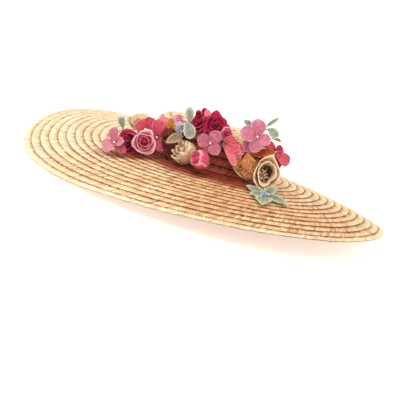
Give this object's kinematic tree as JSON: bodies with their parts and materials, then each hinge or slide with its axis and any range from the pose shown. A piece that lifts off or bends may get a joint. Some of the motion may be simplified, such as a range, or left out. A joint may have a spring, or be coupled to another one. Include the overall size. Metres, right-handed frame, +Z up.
{
  "type": "picture hat",
  "caption": "Wide picture hat of sewn straw braid with a waved saucer brim, a low hollow crown and a spray of silk flowers, leaves and berries across the front.",
  "frame": {"origin": "on the floor under the middle of the crown, level with the lowest points of the rim", "axes": "+Z up through the crown, -Y towards the viewer and the flower spray, +X to the viewer's right"},
  "size_m": [0.52, 0.52, 0.1402],
  "materials": {
    "straw": "natural sewn straw braid, matte with a slight sheen",
    "hydrangea_silk": "hand-tinted silk, matte",
    "coral_silk": "hand-tinted silk, matte",
    "lilac_silk": "hand-tinted silk, matte",
    "burgundy_velvet": "velvet petals, soft sheen",
    "rose_silk": "hand-tinted silk, matte",
    "cream_silk": "hand-tinted silk, matte",
    "taupe_silk": "hand-tinted silk, matte",
    "sage_leaf": "printed cloth leaf, matte",
    "silver_plush": "furry plush leaf",
    "ochre_leaf": "velvet leaf",
    "orange_leaf": "velvet leaf",
    "copper_mesh": "metallic net leaf",
    "berry_glaze": "frosted lacquer"
  },
  "bodies": {
    "root": {"brim": "straw", "crown": "straw", "floret_left": "hydrangea_silk", "floret_middle": "hydrangea_silk", "floret_right": "hydrangea_silk", "coral_floret_left": "coral_silk", "coral_floret_inner": "coral_silk", "coral_floret_right": "coral_silk", "magenta_floret": "coral_silk", "lilac_floret": "lilac_silk", "burgundy_rose_left": "burgundy_velvet", "burgundy_rose_top_left": "burgundy_velvet", "burgundy_rose_top_right": "burgundy_velvet", "spiral_rose": "rose_silk", "rosebud_front": "rose_silk", "small_rose": "rose_silk", "cream_rose": "cream_silk", "cream_rose_back": "cream_silk", "taupe_rose": "taupe_silk", "leaf_bud_left": "sage_leaf", "sage_leaf_left": "sage_leaf", "sage_leaf_right": "sage_leaf", "green_leaf_right": "sage_leaf", "leaf_cluster": "sage_leaf", "silver_leaf_upper": "silver_plush", "silver_leaf_lower": "silver_plush", "grey_leaf": "silver_plush", "ochre_leaf": "ochre_leaf", "ochre_leaf_small": "ochre_leaf", "orange_leaf": "orange_leaf", "gold_leaf": "copper_mesh", "tan_leaf": "copper_mesh", "berries_top": "berry_glaze"}
  },
  "joints": []
}
